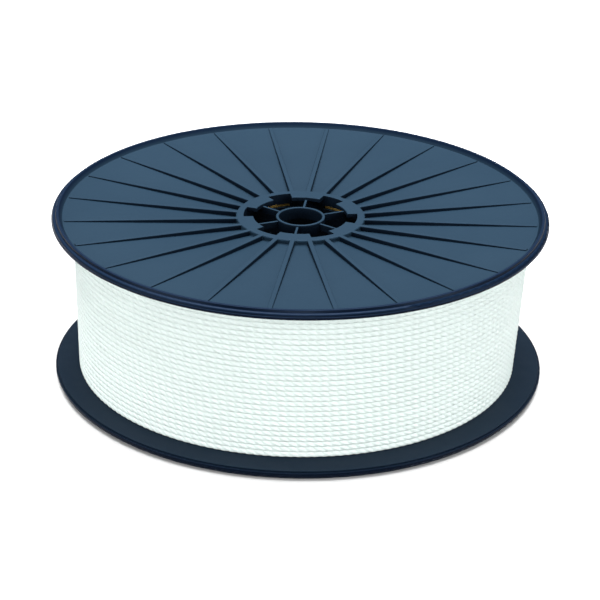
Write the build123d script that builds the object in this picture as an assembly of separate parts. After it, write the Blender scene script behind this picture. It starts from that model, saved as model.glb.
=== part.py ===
from build123d import *
from math import radians, tan
import os

# Rope supply reel: two ribbed plastic flanges pressed into a fibreboard core tube, wound full of
# three-strand rope. Millimetres, +Z up, origin at the centre of the lower flange's resting plane.

# ---- driving dimensions -------------------------------------------------------------------------
FLANGE_R = 210.0          # flange radius at the rim
HEIGHT = 147.0            # overall, from resting land to resting land

# rim bead, given as radius and depth below the flange's resting plane
LAND_IN_R = 203.8         # resting land, inner edge
RIM_FOOT_R = 200.8        # where the slope inside the land meets the plate
LAND_OUT_R = 206.0        # resting land, outer edge
SHOULDER_R = 206.6        # foot of the land's outer wall, where the rounded shoulder starts
SHOULDER_Z = 2.1
WAIST_R = 209.5           # outer end of the shoulder, under the widest part of the rim
WAIST_Z = 4.3
RIM_H = 6.6               # height of the rim bead
LIP_R = 208.0             # edge of the raised inner face
LIP_STEP = 1.2            # the inner face stands this far above the rim bead

# dished plate: the hub lies deeper than the rim
RECESS = 4.4              # plate's outer face below the resting land, at the rim
PLATE_T = RIM_H + LIP_STEP - RECESS
DISH = 7.5                # the hub's face below the rim's land

# ribs
RIB_COUNT = 24
RIB_W = 4.0
RIB_END_R = 199.5
RIB_END_H = 0.9           # height left over the plate at the outer end
RIB_EDGE = 0.7            # rounding along a rib's top edges

# hub
BOSS_R = 54.6             # outer radius of the raised hub ring
BOSS_IN_R = 39.9          # inner radius, at the teeth between the drive notches
WEB_T = 3.4               # thickness of the teeth
NOTCH_R = 48.3            # outer radius of the drive notches
NOTCH_COUNT = 6
NOTCH_ANGLE = 25.0        # degrees that one notch spans
NOTCH_FIRST = 30.0        # direction of the first notch
SPOKE_W = 2.0
SPOKE_TOP = 2.3           # the spokes start this deep under the hub's face
SPOKE_END = 8.0           # and end this deep
ARBOR_R = 18.3            # spindle bore
ARBOR_OUT_R = 20.9
ARBOR_TOP = 0.9           # the bore ring likewise
ARBOR_END = 11.0
SPIGOT_R = 51.1           # spigot that enters the core tube
SPIGOT_L = 42.0
SLOT_RISE = 1.3           # slots through the spigot behind the drive notches, above the tube's seat
SLOT_H = 3.35

# core tube
CORE_R = 55.0
CORE_IN_R = 51.2
ANCHOR_HOLE_R = 3.2       # hole that the rope's inner end passes through
ANCHOR_Z = 73.5
ANCHOR_DIR = 60.0         # direction of the hole, in degrees from +X
TUBE_SEAT_R = 56.0        # flat seat round the spigot, for the tube's end

# rope
ROPE_D = 4.7
WOUND_TOP_R = 193.6       # outside of the winding under the upper flange
WOUND_BOTTOM_R = 188.0    # and above the lower flange
ROPE_GAP = 0.25           # air between the winding and its neighbours
KNOT_R = 8.0
TAIL_START = 20.0         # the rope's outer end lies over the winding between these directions
TAIL_END = 96.0
TAIL_Z = 15.5

# working allowances
OVERCUT = 1.0             # how far a cutter reaches past what it cuts
BITE = 0.5                # overlap where two moulded features fuse
EDGE = 0.6                # rounding of outward edges
INNER_EDGE = 0.9          # rounding of inward corners
HUB_EDGE = 1.2            # rounding of the hub ring's outer edge
TOOTH_EDGE = 1.0          # rounding of the teeth and of the bore ring
FINE_EDGE = 0.4           # rounding of thin edges
SHOULDER_ROUND = 2.0      # rounding of the rim's shoulder

# ---- derived ------------------------------------------------------------------------------------
HUB_Z = DISH                                  # hub face of the lower flange
SEAT_Z = RECESS + DISH + PLATE_T              # inner face at the hub, where the core tube seats
FACE_Z = RIM_H + LIP_STEP                     # inner face at the rim


def inner_face_z(radius):
    """Height of the lower flange's inner face at a radius outside the core tube."""
    return FACE_Z + (LIP_R - radius) * (SEAT_Z - FACE_Z) / (LIP_R - TUBE_SEAT_R)


def at(face, corners):
    """The vertices of a flat section that lie at the given (radius, z) corners."""
    wanted = [Vector(r, 0, z) for r, z in corners]
    return [v for v in face.vertices() if any((Vector(*v) - w).length < 1e-3 for w in wanted)]


def turned(points, roundings):
    """Solid of revolution about Z from (radius, z) points, with rounded section corners."""
    section = make_face(Polyline(*[(r, 0, z) for r, z in points], close=True))
    for radius, corners in roundings:
        section = fillet(at(section, corners), radius)
    return revolve(section, Axis.Z)


def sector(inner, outer, direction, angle, z0, z1):
    """Part of an annulus with radial sides, between two heights."""
    ring = Circle(outer) - Circle(inner)
    reach = 2 * outer
    half = radians(angle / 2)
    wedge = make_face(Polyline((0, 0), (reach, reach * tan(half)), (reach, -reach * tan(half)), close=True))
    flat = Rot(0, 0, direction) * (ring & wedge)
    return Pos(0, 0, z0) * extrude(flat, z1 - z0)


def around(count, first=0.0):
    return [first + k * 360 / count for k in range(count)]


def long_edges(bar, width):
    """The two long edges of a bar's outward face, which looks down on the lower flange."""
    outward = [f for f in bar.faces() if f.normal_at().Z < -0.9][0]
    return [e for e in outward.edges() if e.length > 2 * width]


def shell():
    """Rim bead, dished plate, hub ring and spigot of the lower flange, as one turned body."""
    points = [
        (LAND_OUT_R, 0), (LAND_IN_R, 0), (RIM_FOOT_R, RECESS),
        (BOSS_R, RECESS + DISH), (BOSS_R, HUB_Z), (BOSS_IN_R, HUB_Z),
        (BOSS_IN_R, HUB_Z + WEB_T), (NOTCH_R, HUB_Z + WEB_T),
        (NOTCH_R, SEAT_Z + SPIGOT_L), (SPIGOT_R, SEAT_Z + SPIGOT_L),
        (SPIGOT_R, SEAT_Z), (TUBE_SEAT_R, SEAT_Z),
        (LIP_R, FACE_Z), (LIP_R, RIM_H), (FLANGE_R, RIM_H),
        (FLANGE_R, WAIST_Z + FINE_EDGE), (WAIST_R, WAIST_Z), (WAIST_R, SHOULDER_Z),
        (SHOULDER_R, SHOULDER_Z),
    ]
    roundings = [
        (EDGE, [(LAND_OUT_R, 0), (LAND_IN_R, 0), (FLANGE_R, RIM_H)]),
        (INNER_EDGE, [(RIM_FOOT_R, RECESS), (BOSS_R, RECESS + DISH), (SPIGOT_R, SEAT_Z + SPIGOT_L)]),
        (HUB_EDGE, [(BOSS_R, HUB_Z)]),
        (TOOTH_EDGE, [(BOSS_IN_R, HUB_Z)]),
        (SHOULDER_ROUND, [(WAIST_R, SHOULDER_Z)]),
        (FINE_EDGE, [(LIP_R, FACE_Z)]),
    ]
    return turned(points, roundings)


def rib(direction):
    """One radial rib, level with the hub's face and sinking towards the plate near the rim."""
    start = SPIGOT_R
    end_z = RECESS - RIB_END_H
    top_start = HUB_Z + (HUB_Z - end_z) / (RIB_END_R - BOSS_R) * (BOSS_R - start)
    profile = make_face(Polyline(
        (start, 0, top_start), (RIB_END_R, 0, end_z),
        (RIB_END_R, 0, RECESS + PLATE_T / 2), (start, 0, SEAT_Z - PLATE_T / 2), close=True))
    blade = extrude(profile, RIB_W / 2, dir=(0, 1, 0), both=True)
    return Rot(0, 0, direction) * fillet(long_edges(blade, RIB_W), RIB_EDGE)


def arbor():
    """Bore ring with its six spokes, which run on under the teeth to the spigot's wall."""
    top, end = HUB_Z + ARBOR_TOP, HUB_Z + ARBOR_END
    ring = turned([(ARBOR_R, top), (ARBOR_OUT_R, top), (ARBOR_OUT_R, end), (ARBOR_R, end)],
                  [(TOOTH_EDGE, [(ARBOR_R, top), (ARBOR_OUT_R, top)])])
    start = (ARBOR_R + ARBOR_OUT_R) / 2
    length = NOTCH_R + BITE - start
    depth = SPOKE_END - SPOKE_TOP
    spoke = Pos(start + length / 2, 0, HUB_Z + SPOKE_TOP + depth / 2) * Box(length, SPOKE_W, depth)
    spoke = fillet(long_edges(spoke, SPOKE_W), FINE_EDGE)
    spokes = [Rot(0, 0, a) * spoke for a in around(NOTCH_COUNT)]
    return ring.fuse(*spokes)


def lower_flange():
    body = shell()
    for direction in around(NOTCH_COUNT, NOTCH_FIRST):
        body -= sector(BOSS_IN_R - OVERCUT, NOTCH_R, direction, NOTCH_ANGLE,
                       HUB_Z - OVERCUT, HUB_Z + WEB_T + OVERCUT)
        body -= sector(NOTCH_R - OVERCUT, SPIGOT_R + OVERCUT, direction, NOTCH_ANGLE,
                       SEAT_Z + SLOT_RISE, SEAT_Z + SLOT_RISE + SLOT_H)
    ribs = [rib(direction) for direction in around(RIB_COUNT)]
    return body.fuse(arbor(), *ribs)


def upper_flange(lower):
    return mirror(lower, about=Plane.XY.offset(HEIGHT / 2))


def core_tube():
    tube = turned([(CORE_IN_R, SEAT_Z), (CORE_R, SEAT_Z),
                   (CORE_R, HEIGHT - SEAT_Z), (CORE_IN_R, HEIGHT - SEAT_Z)], [])
    drill = Pos(CORE_R, 0, ANCHOR_Z) * Rot(0, 90, 0) * Cylinder(ANCHOR_HOLE_R, CORE_R / 2)
    return tube - Rot(0, 0, ANCHOR_DIR) * drill


def wound(inner_top, inner_bottom, outer_top, outer_bottom):
    """A closed ring of wound rope between the two dished faces."""
    def foot(radius):
        return inner_face_z(radius) + ROPE_GAP
    return turned([(inner_bottom, foot(inner_bottom)), (outer_bottom, foot(outer_bottom)),
                   (outer_top, HEIGHT - foot(outer_top)), (inner_top, HEIGHT - foot(inner_top))], [])


def rope_outer_layer():
    return wound(WOUND_TOP_R - ROPE_D, WOUND_BOTTOM_R - ROPE_D, WOUND_TOP_R, WOUND_BOTTOM_R)


def rope_inner_layers():
    inside = CORE_R + ROPE_GAP
    outside = ROPE_D + ROPE_GAP
    return wound(inside, inside, WOUND_TOP_R - outside, WOUND_BOTTOM_R - outside)


def rope_inner_end():
    """The inner end of the rope, through the tube's hole and stopped by a knot inside."""
    knot_x = CORE_IN_R - KNOT_R - ROPE_GAP
    stub = Pos((knot_x + CORE_R) / 2, 0, 0) * Rot(0, 90, 0) * Cylinder(ROPE_D / 2, CORE_R - knot_x)
    knot = Pos(knot_x, 0, 0) * Sphere(KNOT_R)
    return Rot(0, 0, ANCHOR_DIR) * Pos(0, 0, ANCHOR_Z) * (stub + knot)


def rope_outer_end():
    """The free outer end, lying over the winding's lower rows."""
    taper = (WOUND_TOP_R - WOUND_BOTTOM_R) / (HEIGHT - 2 * FACE_Z)
    run_r = WOUND_BOTTOM_R + taper * (TAIL_Z - FACE_Z) + ROPE_D / 2 + ROPE_GAP
    run = CenterArc((0, 0, TAIL_Z), run_r, TAIL_START, TAIL_END - TAIL_START)
    return sweep(Plane(run @ 0, z_dir=run % 0) * Circle(ROPE_D / 2), path=run)


os.makedirs("parts", exist_ok=True)
lower = lower_flange()
nodes = {
    "lower_flange": lower,
    "upper_flange": upper_flange(lower),
    "core_tube": core_tube(),
    "rope_inner_layers": rope_inner_layers(),
    "rope_outer_layer": rope_outer_layer(),
    "rope_inner_end": rope_inner_end(),
    "rope_outer_end": rope_outer_end(),
}
for name, shape in nodes.items():
    export_step(shape, f"parts/{name}.step")
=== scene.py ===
import bpy
import numpy as np
from math import cos, pi, radians, sin, sqrt
from mathutils import Matrix, Vector


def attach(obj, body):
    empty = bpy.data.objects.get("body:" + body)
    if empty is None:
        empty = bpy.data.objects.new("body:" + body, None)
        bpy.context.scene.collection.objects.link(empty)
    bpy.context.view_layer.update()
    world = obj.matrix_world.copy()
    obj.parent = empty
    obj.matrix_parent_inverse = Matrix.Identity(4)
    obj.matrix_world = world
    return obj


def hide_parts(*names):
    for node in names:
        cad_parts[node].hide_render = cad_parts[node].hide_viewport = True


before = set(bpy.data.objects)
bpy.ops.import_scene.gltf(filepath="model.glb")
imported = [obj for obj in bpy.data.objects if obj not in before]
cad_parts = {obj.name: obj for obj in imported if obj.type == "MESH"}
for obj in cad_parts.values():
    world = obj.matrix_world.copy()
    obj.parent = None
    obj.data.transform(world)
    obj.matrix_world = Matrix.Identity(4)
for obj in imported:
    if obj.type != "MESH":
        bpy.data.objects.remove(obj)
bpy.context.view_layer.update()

# Rope supply reel: the flanges and the core tube are the CAD's own meshes, and the rope is a
# three-strand rope along its real winding. Metres, and plan angles in degrees from +X.

# ---- the rope -----------------------------------------------------------------------------------
ROPE_D = 0.0047
STRANDS = 3
STRAND_STEPS = 172.95      # strand crowns that pass one side of the rope in one turn of the reel
RING_POINTS = 21           # points round the rope's section
LAY_RINGS = 9              # sections in one lay of the rope
GROOVE = 0.84              # depth filled in a groove, as a share of the rope's radius
PRESSED = 8.0              # how square the rope's section is pressed where it lies packed
SPREAD = 0.13              # and how much wider, so that neighbouring turns press into each other
STRAND_R = 0.464           # radius of one strand, as a share of the rope's
FILLING = 4                # how roundly a groove's bottom meets its sides
LAY = 0.0204               # length of one turn of the strands
ROPE_PIECES = 4            # meshes that the outer layer is divided into
CUT_NARROWS = 0.75         # how much the cut and fused end narrows, as a share of the rope's radius,
KNOT_NARROWS = 0.6         # and the same at the knot's end,
NARROWS_OVER = 1.2         # over about this many sections

# ---- its winding --------------------------------------------------------------------------------
ROWS = 28                  # turns in the outer layer
CROSS_TO = 126.6           # each turn lies parallel to the flanges from this direction on,
CROSS_FROM = 6.6           # and from here on it crosses to the next row
SIDE_GAP = 0.00005         # air between the last rows and the flanges
LEAN = 0.0017              # the winding's ends sit this far off the axis, the top one towards
LEAN_DIR = -23.4           # this direction and the bottom one away from it
LEAD_IN = 40.0             # degrees over which the layer's first turn rises from the layer below
LEAVE_FROM = -5.0          # the last turn lifts off the layer from here
LEAVE_TO = 20.0            # to here, then crosses the row beside it
NEST_FROM = 50.0           # and lies in the groove between two rows from here
NEST_TO = 60.0
TAIL_END = 96.0            # to here, where the rope is cut and fused
WANDER_SEED = 5
WANDER_STEPS = 9           # slight wanderings of the rope in one turn of the reel,
WANDER_OUT = 0.00005       # outwards,
WANDER_UP = 0.00008        # up,
WANDER_TWIST = 0.16        # and of its strands, in radians

# ---- under the outer layer ----------------------------------------------------------------------
BUMP_POINTS = 4            # points across each turn of the layers underneath
BUMP_SEGMENTS = 128
KNOT_DIR = 60.0            # the inner end's hole in the core tube
KNOT_Z = 0.0735
KNOT_FROM_AXIS = 0.04295
KNOT_SIZE = 0.00188        # scale of the knot's loops across,
KNOT_RISE = 0.0025         # and along its own axis
KNOT_OPEN = 0.35           # part left open in the knot's loop, in radians
KNOT_POINTS = 80


def smooth(x):
    """0 below 0, 1 above 1, and an even S between."""
    x = np.clip(x, 0.0, 1.0)
    return x * x * (3 - 2 * x)


def polar(angle, radius, z):
    """Points in the row frame from plan angles in degrees, radii and heights."""
    a = np.radians(angle)
    return np.stack([radius * np.cos(a), radius * np.sin(a), z + 0 * a], axis=-1)


def node_points(name):
    """Radius and height of each vertex of a CAD node."""
    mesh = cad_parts[name].data
    co = np.empty(len(mesh.vertices) * 3)
    mesh.vertices.foreach_get("co", co)
    co = co.reshape(-1, 3)
    return np.hypot(co[:, 0], co[:, 1]), co[:, 2]


def outer_wall(name):
    """Lowest and highest (radius, z) of a wound CAD node, which are its outer wall's two ends."""
    r, z = node_points(name)
    low, high = np.argmin(z), np.argmax(z)
    return (r[low], z[low]), (r[high], z[high])


def link(obj):
    bpy.context.scene.collection.objects.link(obj)
    return obj


def mesh_object(name, points, faces, uv):
    """A smooth-shaded mesh object. faces are arrays of corner numbers, uv one pair for each corner."""
    mesh = bpy.data.meshes.new(name)
    mesh.vertices.add(len(points))
    mesh.vertices.foreach_set("co", np.asarray(points, dtype=np.float32).ravel())
    corners = np.concatenate([np.ravel(f) for f in faces]).astype(np.int32)
    sizes = np.concatenate([[f.shape[1]] * len(f) for f in faces])
    mesh.loops.add(len(corners))
    mesh.loops.foreach_set("vertex_index", corners)
    mesh.polygons.add(len(sizes))
    mesh.polygons.foreach_set("loop_start", np.concatenate([[0], np.cumsum(sizes)[:-1]]).astype(np.int32))
    mesh.polygons.foreach_set("use_smooth", np.ones(len(sizes), dtype=bool))
    mesh.uv_layers.new(name="Rope").data.foreach_set("uv", np.asarray(uv, dtype=np.float32).ravel())
    mesh.update(calc_edges=True)
    return link(bpy.data.objects.new(name, mesh))


def section():
    """Angle and radius, as a share of the rope's, of the points round its three strands."""
    angle = np.arange(RING_POINTS) * 2 * pi / RING_POINTS
    lobe = 2 * pi / STRANDS
    near = (angle + lobe / 2) % lobe - lobe / 2
    middle = 1 - STRAND_R
    bare = middle * np.cos(near) + np.sqrt(np.maximum(STRAND_R**2 - (middle * np.sin(near)) ** 2, 0))
    filled = (bare**FILLING + GROOVE**FILLING) ** (1 / FILLING)
    return angle, filled / filled.max()


def rope_mesh(name, centre, outward, twist, packed, scale):
    """Three-strand rope along a path: its section turns by twist about the path, from outward.

    Where packed is 1 the section is pressed towards a square, and where it is 0 it stays round.
    Its texture coordinates are metres along the rope and metres round it.
    """
    count = len(centre)
    along = np.gradient(centre, axis=0)
    along /= np.linalg.norm(along, axis=1, keepdims=True)
    outward = outward - along * np.sum(outward * along, axis=1, keepdims=True)
    outward /= np.linalg.norm(outward, axis=1, keepdims=True)
    across = np.cross(along, outward)
    angle, share = section()
    turned = angle[None, :] + twist[:, None]
    packed = packed[:, None]
    groove = 1 - share[None, :]
    half = ROPE_D / 2 * scale[:, None]
    side = np.sin(turned)
    face = np.sign(np.cos(turned)) * (1 - np.abs(side) ** PRESSED) ** (1 / PRESSED)
    rise = half * (1 - groove) * (np.cos(turned) * (1 - packed) + face * packed)
    sideways = half * side * (1 - groove * (1 - packed)) * (1 + SPREAD * packed)
    points = (centre[:, None, :] + rise[:, :, None] * outward[:, None, :]
              + sideways[:, :, None] * across[:, None, :])
    ring = np.arange(RING_POINTS)
    nxt = (ring + 1) % RING_POINTS
    base = (np.arange(count - 1) * RING_POINTS)[:, None]
    quads = np.stack([base + ring, base + nxt, base + RING_POINTS + nxt, base + RING_POINTS + ring], axis=-1)
    travel = np.concatenate([[0], np.cumsum(np.linalg.norm(np.diff(centre, axis=0), axis=1))])
    around = np.concatenate([turned, turned[:, :1] + 2 * pi], axis=1) * ROPE_D / 2
    corner_uv = np.stack([
        np.stack([travel[:-1, None] + 0 * around[:-1, :-1], around[:-1, :-1]], axis=-1),
        np.stack([travel[:-1, None] + 0 * around[:-1, 1:], around[:-1, 1:]], axis=-1),
        np.stack([travel[1:, None] + 0 * around[1:, 1:], around[1:, 1:]], axis=-1),
        np.stack([travel[1:, None] + 0 * around[1:, :-1], around[1:, :-1]], axis=-1)], axis=2)
    ends = np.stack([ring[::-1], (count - 1) * RING_POINTS + ring])
    uv = np.concatenate([corner_uv.reshape(-1, 2), np.zeros((2 * RING_POINTS, 2))])
    return mesh_object(name, points.reshape(-1, 3), [quads.reshape(-1, 4), ends], uv)


def wander(turn, seed):
    """A slow seeded wandering between -1 and 1 along the turns."""
    steps = np.arange(int((turn[-1] - turn[0]) * WANDER_STEPS) + 3)
    values = np.random.default_rng(seed).uniform(-1, 1, len(steps))
    place = (turn - turn[0]) * WANDER_STEPS
    before = np.floor(place).astype(int)
    return values[before] + (values[before + 1] - values[before]) * smooth(place - before)


def winding():
    """The outer layer and the free end as one path.

    Gives the turns, points, outward directions, twist, and how tightly the rope lies packed.
    """
    (low_r, low_z), (high_r, high_z) = outer_wall("rope_outer_layer")
    half = ROPE_D / 2
    inset = half * (1 + SPREAD) + SIDE_GAP
    z_low, z_high = low_z + inset, high_z - inset
    pitch = (z_high - z_low) / (ROWS - 1)
    lift = sqrt(ROPE_D**2 - (pitch / 2) ** 2)

    per_ring = STRANDS / STRAND_STEPS / LAY_RINGS
    last = ROWS - 1 + (360 + TAIL_END - CROSS_TO) / 360
    turn = np.arange(-LEAD_IN / 360, last, per_ring)
    row = np.clip(np.floor(turn), 0, ROWS - 1)
    part = (turn - row) * 360                       # degrees since this row began
    crossing = smooth((part - (360 + CROSS_FROM - CROSS_TO)) / (CROSS_TO - CROSS_FROM))
    leaving = turn > ROWS - 1 + 0.5
    plan = part + CROSS_TO - 360                    # plan angle in the last turn
    beside = z_high - pitch * (ROWS - 2 + crossing) + pitch / 2   # the groove beside the last row
    nest = smooth((plan - LEAVE_TO) / (NEST_FROM - LEAVE_TO))
    z = np.where(leaving, z_low + (beside - z_low) * nest, z_high - pitch * (row + crossing))

    middle_r = low_r + (high_r - low_r) * (z - low_z) / (high_z - low_z) - half
    rise = ROPE_D * smooth((plan - LEAVE_FROM) / (LEAVE_TO - LEAVE_FROM))
    rise += (lift - ROPE_D) * smooth((plan - NEST_FROM) / (NEST_TO - NEST_FROM))
    sink = lift * (1 - smooth((turn * 360 + LEAD_IN) / LEAD_IN))
    angle = CROSS_TO + turn * 360
    height = 2 * (z - low_z) / (high_z - low_z) - 1
    lean = LEAN * height * np.cos(np.radians(angle - LEAN_DIR))
    radius = middle_r + np.where(leaving, rise, 0) - sink + lean + WANDER_OUT * wander(turn, WANDER_SEED)
    z = z + np.where(leaving, 0, WANDER_UP) * wander(turn, WANDER_SEED + 1)
    twist = 2 * pi * turn * STRAND_STEPS / STRANDS + WANDER_TWIST * wander(turn, WANDER_SEED + 2)
    packed = np.where(leaving, 1 - smooth((plan - LEAVE_FROM) / (LEAVE_TO - LEAVE_FROM)), 1)
    return turn, polar(angle, radius, z), polar(angle, 1.0, 0.0), twist, packed


def wound_rope():
    """The outer layer in a few meshes, and the free end, which share their end sections."""
    turn, centre, outward, twist, packed = winding()
    tail_from = ROWS - 1 + (360 + LEAVE_FROM - CROSS_TO) / 360
    tail = int(np.searchsorted(turn, tail_from))
    bounds = [round(k * tail / ROPE_PIECES) for k in range(ROPE_PIECES + 1)]
    pieces = []
    for k in range(ROPE_PIECES):
        part = slice(bounds[k], bounds[k + 1] + 1)
        name = f"rope_outer_rows_{k + 1}"
        full = np.ones(len(turn[part]))
        pieces.append(rope_mesh(name, centre[part], outward[part], twist[part], packed[part], full))
    part = slice(tail, None)
    left = np.arange(len(turn) - tail)[::-1]
    fused = 1 - CUT_NARROWS * np.exp(-left / NARROWS_OVER)
    free_end = rope_mesh("rope_free_end", centre[part], outward[part], twist[part], packed[part], fused)
    return pieces, free_end


def bumps(start, end, count):
    """Points from start up to end of an edge that bulges outwards (to its right) in count turns."""
    start, end = np.array(start), np.array(end)
    side = (end - start) / count
    right = np.array([side[1], -side[0]])
    points = []
    for k in range(count):
        for j in range(BUMP_POINTS):
            a = pi * j / BUMP_POINTS
            across, sunk = (1 - cos(a)) / 2, (1 - sin(a)) / 2
            points.append(start + side * (k + across) - right * sunk)
    return points


def under_layers():
    """The layers under the outer one: a ring whose surface bulges with each turn and layer."""
    r, z = node_points("rope_inner_layers")
    (low_r, low_z), (high_r, high_z) = outer_wall("rope_inner_layers")
    inner = r < r.min() + ROPE_D / 10
    in_low, in_high = (r.min(), z[inner].min()), (r.min(), z[inner].max())
    layers = round((low_r - r.min()) / ROPE_D)
    profile = np.array(
        bumps((low_r, low_z), (high_r, high_z), ROWS - 1) + bumps((high_r, high_z), in_high, layers)
        + bumps(in_high, in_low, ROWS - 1) + bumps(in_low, (low_r, low_z), layers))
    count = len(profile)
    turns = np.arange(BUMP_SEGMENTS) * 360 / BUMP_SEGMENTS
    points = polar(turns[:, None], profile[None, :, 0], profile[None, :, 1])
    ring = (np.arange(BUMP_SEGMENTS) * count)[:, None]
    after = np.roll(ring, -1, axis=0)
    step = np.arange(count)
    nxt = (step + 1) % count
    quads = np.stack([ring + step, after + step, after + nxt, ring + nxt], axis=-1)
    across = np.concatenate([[0], np.cumsum(np.linalg.norm(np.diff(profile, axis=0), axis=1)), [0]])
    around = np.arange(BUMP_SEGMENTS + 1) * 2 * pi * low_r / BUMP_SEGMENTS
    u0, u1 = around[:-1, None] + 0 * step, around[1:, None] + 0 * step
    v0, v1 = across[None, :-1] + 0 * u0, across[None, 1:] + 0 * u0
    uv = np.stack([np.stack([u0, v0], -1), np.stack([u1, v0], -1), np.stack([u1, v1], -1),
                   np.stack([u0, v1], -1)], axis=2)
    return mesh_object("rope_under_layers", points.reshape(-1, 3), [quads.reshape(-1, 4)], uv.reshape(-1, 2))


def carried(centre):
    """A direction square to a path at each point, carried along without turning about the path."""
    along = np.gradient(centre, axis=0)
    along /= np.linalg.norm(along, axis=1, keepdims=True)
    made = [np.array([0.0, 0.0, 1.0])]
    for step in along:
        kept = made[-1] - step * np.dot(made[-1], step)
        made.append(kept / np.linalg.norm(kept))
    return np.array(made[1:])


def knotted_end():
    """The rope's inner end: through the core tube's hole, and an overhand knot behind it.

    The path is given outward from the axis, sideways and up, from the middle of the knot.
    """
    t = np.linspace(pi + KNOT_OPEN, 3 * pi - KNOT_OPEN, KNOT_POINTS)
    loops = np.stack([-KNOT_SIZE * (np.cos(t) - 2 * np.cos(2 * t)),
                      KNOT_SIZE * (np.sin(t) + 2 * np.sin(2 * t)), -KNOT_RISE * np.sin(3 * t)], axis=-1)
    tail = [(0.0030, -0.0085, 0.0036), (0.0041, -0.0050, 0.0037), (0.0047, -0.0015, 0.0031)]
    through = [(0.0063, -0.0009, -0.0012), (0.0080, -0.0001, -0.0002), (0.0095, 0, 0), (0.01205, 0, 0)]
    path = np.concatenate([tail, loops, through])
    travel = np.concatenate([[0], np.cumsum(np.linalg.norm(np.diff(path, axis=0), axis=1))])
    even = np.arange(0, travel[-1], LAY / LAY_RINGS / 2)
    path = np.stack([np.interp(even, travel, path[:, k]) for k in range(3)], axis=-1)
    for _ in range(2):
        path[1:-1] = (path[:-2] + 2 * path[1:-1] + path[2:]) / 4
    a = radians(KNOT_DIR)
    out, side = np.array([cos(a), sin(a), 0]), np.array([-sin(a), cos(a), 0])
    start = out * KNOT_FROM_AXIS + np.array([0, 0, KNOT_Z])
    centre = start + path[:, :1] * out + path[:, 1:2] * side + path[:, 2:] * np.array([0, 0, 1])
    scale = 1 - KNOT_NARROWS * np.exp(-np.arange(len(centre)) / NARROWS_OVER)
    return rope_mesh("rope_knotted_end", centre, carried(centre), 2 * pi * even / LAY,
                     np.zeros(len(centre)), scale)


# ---- materials ----------------------------------------------------------------------------------
def new_material(name):
    """A material with a Principled shader, and functions that add and join its nodes."""
    material = bpy.data.materials.new(name)
    material.use_nodes = True
    tree = material.node_tree
    shader = tree.nodes["Principled BSDF"]

    def node(kind, **settings):
        made = tree.nodes.new("ShaderNode" + kind)
        for key, value in settings.items():
            if key in made.inputs.keys():
                made.inputs[key].default_value = value
            else:
                setattr(made, key, value)
        return made

    def join(source, target):
        tree.links.new(source, target)

    return material, shader, node, join


def mapped(node, join, source, scale):
    """Texture coordinates, scaled on each axis."""
    place = node("Mapping", Scale=scale)
    join(source, place.inputs["Vector"])
    return place.outputs["Vector"]


def noise(node, join, vector, scale, detail=2.0, roughness=0.5):
    """Noise between 0 and 1 at the coordinates of vector."""
    made = node("TexNoise", Scale=scale, Detail=detail, Roughness=roughness)
    join(vector, made.inputs["Vector"])
    return made.outputs["Fac"]


def ramp(node, join, value, tones, low=0.3, high=0.7):
    """A colour from the first tone to the second as value goes from low to high."""
    made = node("ValToRGB")
    for stop, position, tone in zip(made.color_ramp.elements, (low, high), tones):
        stop.position, stop.color = position, (*tone, 1)
    join(value, made.inputs["Fac"])
    return made.outputs["Color"]


def spread(node, join, value, low, high, to_low, to_high):
    """A number from to_low to to_high as value goes from low to high."""
    made = node("MapRange")
    for key, number in (("From Min", low), ("From Max", high), ("To Min", to_low), ("To Max", to_high)):
        made.inputs[key].default_value = number
    join(value, made.inputs["Value"])
    return made.outputs["Result"]


def worked(node, join, operation, *terms):
    """The result of a Math node, whose terms are other nodes' outputs or plain numbers."""
    made = node("Math", operation=operation)
    for k, term in enumerate(terms):
        if isinstance(term, float):
            made.inputs[k].default_value = term
        else:
            join(term, made.inputs[k])
    return made.outputs["Value"]


def shaded(node, join, colour, shade, amount):
    """A colour multiplied by a painted shade, where amount is 1."""
    made = node("MixRGB", blend_type="MULTIPLY")
    made.inputs["Color2"].default_value = (*shade, 1)
    join(amount, made.inputs["Fac"])
    join(colour, made.inputs["Color1"])
    return made.outputs["Color"]


def bump(node, join, height, strength, distance, before=None):
    """A normal bumped by height, on top of an earlier bump if there is one."""
    made = node("Bump", Strength=strength, Distance=distance)
    join(height, made.inputs["Height"])
    if before is not None:
        join(before, made.inputs["Normal"])
    return made.outputs["Normal"]


MIDDLE_Z = 0.0735                       # the reel's middle height
RIM_FROM, RIM_TO = 0.2012, 0.2030       # the rim bead is smoother, and its colour is painted darker as shade, from here outwards, and from here away from the middle height
BEAD_FROM, BEAD_TO = 0.0664, 0.0672     # and from here away from the middle height
INNER_FROM, INNER_TO = -0.05, -0.03     # height off the middle times how far a face looks up: a face that looks back at the middle height, towards the rope, is below this and is darkened as painted shade
                                        # that looks back at the middle height is below this
HUB_WALL = 0.0545                       # the hub ring's outer wall keeps the plate's colour and this far from it other upright walls are painted darker as shade
HUB_FROM, HUB_TO = 0.0006, 0.0010       # and this far from it other walls are darker
WALL_FROM, WALL_TO = 0.2, 0.9           # how far a face looks up or down, from a wall's to a plate's
PLATE_TONES = (0.0112, 0.0265, 0.0450), (0.0126, 0.0288, 0.0480)
# painted shade for the flanges' faces that look towards the rope, darkened as if in the shade between the
# flanges
INNER_PAINTED_SHADE = 0.62, 0.55, 0.58
# painted shade: the rim bead's colour is darkened and tinted blue to stand in for its dark reflections; its
# lower roughness is its real smoother finish
RIM_PAINTED_SHADE = 0.34, 0.42, 0.62
# painted shade: upright walls, such as the ribs' sides, are darkened as if they faced away from the light
WALL_PAINTED_SHADE = 0.22, 0.22, 0.26
SHINE_TINT = 0.45, 0.65, 1.0
ROUGH_FROM, ROUGH_TO, RIM_ROUGH = 0.46, 0.54, -0.16


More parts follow.
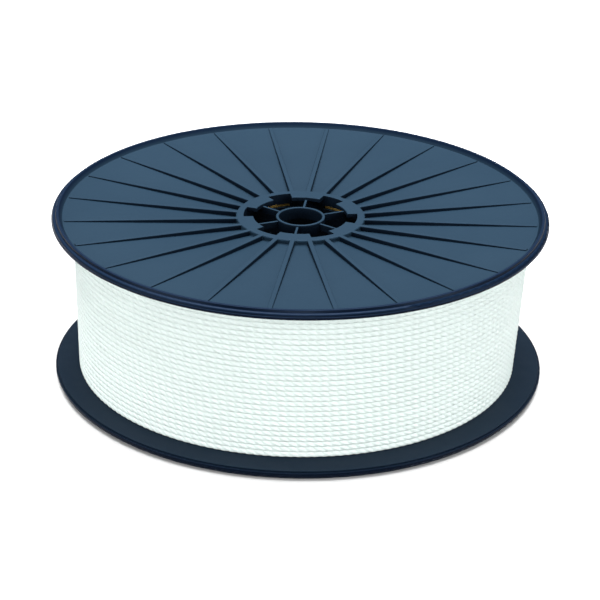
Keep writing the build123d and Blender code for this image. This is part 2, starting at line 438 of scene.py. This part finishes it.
def flange_plastic():
    """Dark navy moulded plastic with faint flow marks: a textured plate and a smoother rim bead, with painted
    shade darkening its upright walls, its faces towards the rope and its rim bead.
    """
    material, shader, node, join = new_material("flange_plastic_satin")
    place = node("TexCoord").outputs["Object"]
    flow = noise(node, join, mapped(node, join, place, (1, 1, 3)), 9.0, 3.0)
    plate = ramp(node, join, flow, PLATE_TONES, 0.35, 0.65)

    flat = mapped(node, join, place, (1, 1, 0))
    length = node("VectorMath", operation="LENGTH")
    join(flat, length.inputs[0])
    reach = length.outputs["Value"]
    split = node("SeparateXYZ")
    join(place, split.inputs["Vector"])
    level = worked(node, join, "SUBTRACT", split.outputs["Z"], MIDDLE_Z)
    facing = node("SeparateXYZ")
    join(node("TexCoord").outputs["Normal"], facing.inputs["Vector"])
    upward = facing.outputs["Z"]

    far_out = spread(node, join, reach, RIM_FROM, RIM_TO, 0.0, 1.0)
    far_up = spread(node, join, worked(node, join, "ABSOLUTE", level), BEAD_FROM, BEAD_TO, 0.0, 1.0)
    at_rim = worked(node, join, "MULTIPLY", far_out, far_up)
    inward = worked(node, join, "MULTIPLY", upward, level)
    painted_inner_shade = spread(node, join, inward, INNER_FROM, INNER_TO, 1.0, 0.0)
    upright = spread(node, join, worked(node, join, "ABSOLUTE", upward), WALL_FROM, WALL_TO, 1.0, 0.0)
    off_hub = worked(node, join, "ABSOLUTE", worked(node, join, "SUBTRACT", reach, HUB_WALL))
    painted_wall_shade = worked(node, join, "MULTIPLY", upright, spread(node, join, off_hub, HUB_FROM, HUB_TO, 0.0, 1.0))

    # painted shade on the faces that look towards the rope
    colour = shaded(node, join, plate, INNER_PAINTED_SHADE, painted_inner_shade)
    # painted shade on the rim bead
    colour = shaded(node, join, colour, RIM_PAINTED_SHADE, at_rim)
    # painted shade on upright walls
    colour = shaded(node, join, colour, WALL_PAINTED_SHADE, painted_wall_shade)
    join(colour, shader.inputs["Base Color"])
    patches = spread(node, join, noise(node, join, place, 60.0, 4.0), 0.3, 0.7, ROUGH_FROM, ROUGH_TO)
    join(worked(node, join, "MULTIPLY_ADD", at_rim, RIM_ROUGH, patches), shader.inputs["Roughness"])
    grain = noise(node, join, place, 1600.0, 2.0)
    join(bump(node, join, grain, 0.25, 0.00005), shader.inputs["Normal"])
    shader.inputs["IOR"].default_value = 1.45
    shader.inputs["Specular IOR Level"].default_value = 0.08
    shader.inputs["Specular Tint"].default_value = (*SHINE_TINT, 1)
    return material


BOARD_TONES = (0.50, 0.31, 0.06), (0.64, 0.43, 0.12)


def core_board():
    """Brown fibreboard with fibres along the wrap."""
    material, shader, node, join = new_material("core_board_fibres")
    place = node("TexCoord").outputs["Object"]
    fibres = noise(node, join, mapped(node, join, place, (1, 1, 6)), 180.0, 4.0, 0.7)
    join(ramp(node, join, fibres, BOARD_TONES), shader.inputs["Base Color"])
    join(bump(node, join, fibres, 0.4, 0.0002), shader.inputs["Normal"])
    shader.inputs["Roughness"].default_value = 0.85
    return material


ROPE_TONES = (0.730, 0.835, 0.805), (0.765, 0.875, 0.843)


def rope_fibre():
    """White synthetic rope: fine fibres along the rope, in yarns that vary a little in tone."""
    material, shader, node, join = new_material("rope_white_fibre")
    place = node("UVMap", uv_map="Rope").outputs["UV"]
    fibres = noise(node, join, mapped(node, join, place, (150, 5200, 1)), 1.0, 3.0, 0.6)
    yarns = noise(node, join, mapped(node, join, place, (40, 900, 1)), 1.0, 2.0)
    join(ramp(node, join, yarns, ROPE_TONES), shader.inputs["Base Color"])
    join(bump(node, join, fibres, 0.35, 0.00012, bump(node, join, yarns, 0.5, 0.0003)),
         shader.inputs["Normal"])
    shader.inputs["Roughness"].default_value = 0.6
    shader.inputs["Specular IOR Level"].default_value = 0.3
    shader.inputs["Subsurface Weight"].default_value = 0.35
    shader.inputs["Subsurface Radius"].default_value = (1.0, 1.0, 1.0)
    shader.inputs["Subsurface Scale"].default_value = 0.004
    return material


FLOOR_TONES = (0.73, 0.73, 0.73), (0.75, 0.75, 0.75)


def floor_white():
    """A plain pale matt floor."""
    material, shader, node, join = new_material("floor_white")
    place = node("TexCoord").outputs["Object"]
    join(ramp(node, join, noise(node, join, place, 3.0), FLOOR_TONES), shader.inputs["Base Color"])
    shader.inputs["Roughness"].default_value = 0.9
    shader.inputs["Specular IOR Level"].default_value = 0.1
    return material


def paint(obj, material):
    obj.data.materials.clear()
    obj.data.materials.append(material)


# ---- the object ---------------------------------------------------------------------------------
plastic, board, fibre = flange_plastic(), core_board(), rope_fibre()
for name in ("lower_flange", "upper_flange"):
    paint(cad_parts[name], plastic)
paint(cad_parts["core_tube"], board)

outer_rows, free_end = wound_rope()
under, knot = under_layers(), knotted_end()
for piece in outer_rows:
    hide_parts("rope_outer_layer")
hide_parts("rope_outer_end")
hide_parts("rope_inner_layers")
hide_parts("rope_inner_end")
for piece in [*outer_rows, free_end, under, knot]:
    paint(piece, fibre)
    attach(piece, "root")

# ---- floor, light and camera --------------------------------------------------------------------
FLOOR_SIZE, FLOOR_Z = 60.0, -0.0002
AIM_Z = 0.0601
AIM_RIGHT = 0.0008
AZIMUTH, ELEVATION, ROLL = -23.4, 24.91, 0.98
DISTANCE = 1.945
LENS_MM, SENSOR_MM = 135.4, 36.0
CLIP_FROM, CLIP_TO = 0.05, 200.0
LIGHTS = (                 # name, azimuth from the camera's, elevation, distance, diameter, watts
    ("overhead", 180.0, 80.0, 2.3, 2.6, 155.0),
    ("fill_left", -58.0, 10.0, 2.6, 1.6, 48.0),
    ("fill_right", 60.0, 10.0, 2.6, 1.6, 50.0),
    ("fill_front", 0.0, 5.0, 2.6, 0.6, 26.0),
)
SKY = (0.0, 0.15), (0.35, 0.13), (1.0, 1.0)      # sine of the elevation, and grey

bpy.ops.mesh.primitive_plane_add(size=FLOOR_SIZE, location=(0, 0, FLOOR_Z))
floor = bpy.context.object
floor.name = "floor"
paint(floor, floor_white())
floor.visible_diffuse = False      # so that it throws no light back up onto the rope


def directions(azimuth, elevation):
    """Right, up and back of a view: azimuth 0 looks along +Y."""
    a, e = radians(azimuth), radians(elevation)
    back = Vector((sin(a) * cos(e), -cos(a) * cos(e), sin(e)))
    right = Vector((cos(a), sin(a), 0))
    return right, back.cross(right), back


def area_light(name, azimuth, elevation, distance, size, power):
    """A round soft light that faces the reel, and that the camera doesn't see."""
    data = bpy.data.lights.new(name, "AREA")
    data.shape, data.size, data.energy = "DISK", size, power
    lamp = link(bpy.data.objects.new(name, data))
    back = directions(azimuth, elevation)[2]
    lamp.location = back * distance + Vector((0, 0, AIM_Z))
    lamp.rotation_euler = back.to_track_quat("Z", "Y").to_euler()
    lamp.visible_camera = False


def studio():
    """The lights, and a grey world that is paler overhead."""
    for name, azimuth, elevation, distance, size, power in LIGHTS:
        area_light(name, AZIMUTH + azimuth, elevation, distance, size, power)
    world = bpy.data.worlds.new("studio")
    bpy.context.scene.world = world
    world.use_nodes = True
    tree = world.node_tree
    place = tree.nodes.new("ShaderNodeTexCoord")
    split = tree.nodes.new("ShaderNodeSeparateXYZ")
    fade = tree.nodes.new("ShaderNodeValToRGB")
    tree.links.new(place.outputs["Generated"], split.inputs["Vector"])
    tree.links.new(split.outputs["Z"], fade.inputs["Fac"])
    tree.links.new(fade.outputs["Color"], tree.nodes["Background"].inputs["Color"])
    stops = fade.color_ramp.elements
    for position, _ in SKY[1:-1]:
        stops.new(position)
    for stop, (position, grey) in zip(stops, SKY):
        stop.position, stop.color = position, (grey, grey, grey, 1)


def camera():
    """A long lens at the photo's angle, turned by a small roll."""
    right, up, back = directions(AZIMUTH, ELEVATION)
    roll = radians(ROLL)
    x_axis = cos(roll) * right + sin(roll) * up
    y_axis = cos(roll) * up - sin(roll) * right
    data = bpy.data.cameras.new("camera")
    data.lens, data.sensor_width = LENS_MM, SENSOR_MM
    data.clip_start, data.clip_end = CLIP_FROM, CLIP_TO
    made = link(bpy.data.objects.new("camera", data))
    turn = Matrix((x_axis, y_axis, back)).transposed().to_4x4()
    aim = Vector((0, 0, AIM_Z)) + AIM_RIGHT * right
    made.matrix_world = Matrix.Translation(aim + DISTANCE * back) @ turn
    bpy.context.scene.camera = made


studio()
camera()
bpy.context.scene.view_settings.view_transform = "Standard"
